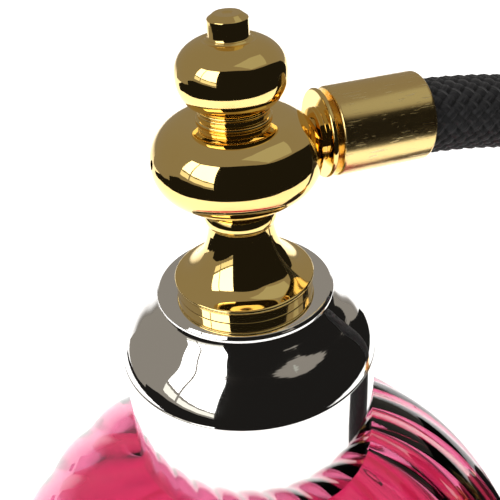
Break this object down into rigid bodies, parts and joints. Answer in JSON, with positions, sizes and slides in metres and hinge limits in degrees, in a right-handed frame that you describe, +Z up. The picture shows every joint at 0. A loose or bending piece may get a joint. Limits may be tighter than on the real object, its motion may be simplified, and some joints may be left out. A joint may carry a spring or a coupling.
{
  "type": "perfume bottle",
  "caption": "Perfume bottle with a ribbed glass globe, domed screw collar, turned spray head, braided hose and squeeze bulb.",
  "frame": {"origin": "centre of the foot ring, on the surface the bottle stands on", "axes": "+Z up through the neck, +X towards the hose, -X the way the spray leaves"},
  "size_m": [0.1139, 0.074, 0.1194],
  "materials": {
    "cranberry_glass": "clear cranberry-pink glass, polished, swirl-ribbed",
    "silver_plate": "mirror-polished silver plate",
    "black_plastic": "moulded",
    "gasket_rubber": "soft white rubber",
    "polished_brass": "mirror-polished gold plate",
    "plain_brass": "turned, unplated",
    "gilt_ferrule": "satin gold plate with fine scratches",
    "clear_plastic": "clear tube",
    "black_braid": "braided cord sleeve",
    "hose_rubber": "matt black rubber",
    "valve_steel": "polished ball"
  },
  "bodies": {
    "bottle": {"glass_bottle": "cranberry_glass"},
    "head": {"head_bell": "polished_brass", "ball_seat": "polished_brass", "lower_ball": "polished_brass", "spray_nozzle": "plain_brass", "air_jet": "plain_brass", "siphon_stem": "plain_brass", "stem_washer": "plain_brass", "stem_nut": "plain_brass", "dip_tube": "clear_plastic", "finial_neck": "polished_brass", "finial_ball": "polished_brass", "finial_pin": "polished_brass", "hose_nipple": "polished_brass", "hose_ferrule": "gilt_ferrule", "hose_braid": "black_braid", "hose_tube": "hose_rubber", "bulb_connector": "polished_brass", "bulb_ferrule": "gilt_ferrule", "rubber_bulb": "hose_rubber", "bulb_cover": "black_braid", "bulb_neck_ring": "gilt_ferrule"},
    "collar": {"collar_shell": "silver_plate", "collar_plate": "silver_plate", "collar_liner": "black_plastic", "neck_gasket": "gasket_rubber"},
    "intake": {"intake_fitting": "polished_brass", "bulb_tail_ring": "gilt_ferrule"},
    "outlet_ball": {"outlet_check_ball": "valve_steel"},
    "intake_ball": {"intake_check_ball": "valve_steel"}
  },
  "joints": [
    {"name": "collar_turn", "type": "hinge", "parent": "head", "child": "collar", "pos_m": [0, 0, 0.0788], "axis": [0, 0, 1], "range_deg": [0, 540]},
    {"name": "head_lift", "type": "slide", "parent": "bottle", "child": "head", "axis": [0, 0, 1], "range_m": [0, 0.0045]},
    {"name": "bulb_squeeze", "type": "slide", "parent": "head", "child": "intake", "axis": [0, 0, 1], "range_m": [0, 0.014], "stiffness_N_per_m": 220, "deforming": ["rubber_bulb", "bulb_cover"]},
    {"name": "outlet_valve", "type": "slide", "parent": "head", "child": "outlet_ball", "axis": [0, 0, 1], "range_m": [0, 0.0005]},
    {"name": "intake_valve", "type": "slide", "parent": "intake", "child": "intake_ball", "axis": [0, 0, 1], "range_m": [0, 0.0005]}
  ],
  "couplings": [
    {"joint": "collar_turn", "follows": "head_lift", "rad_per_m": 2094.4}
  ]
}
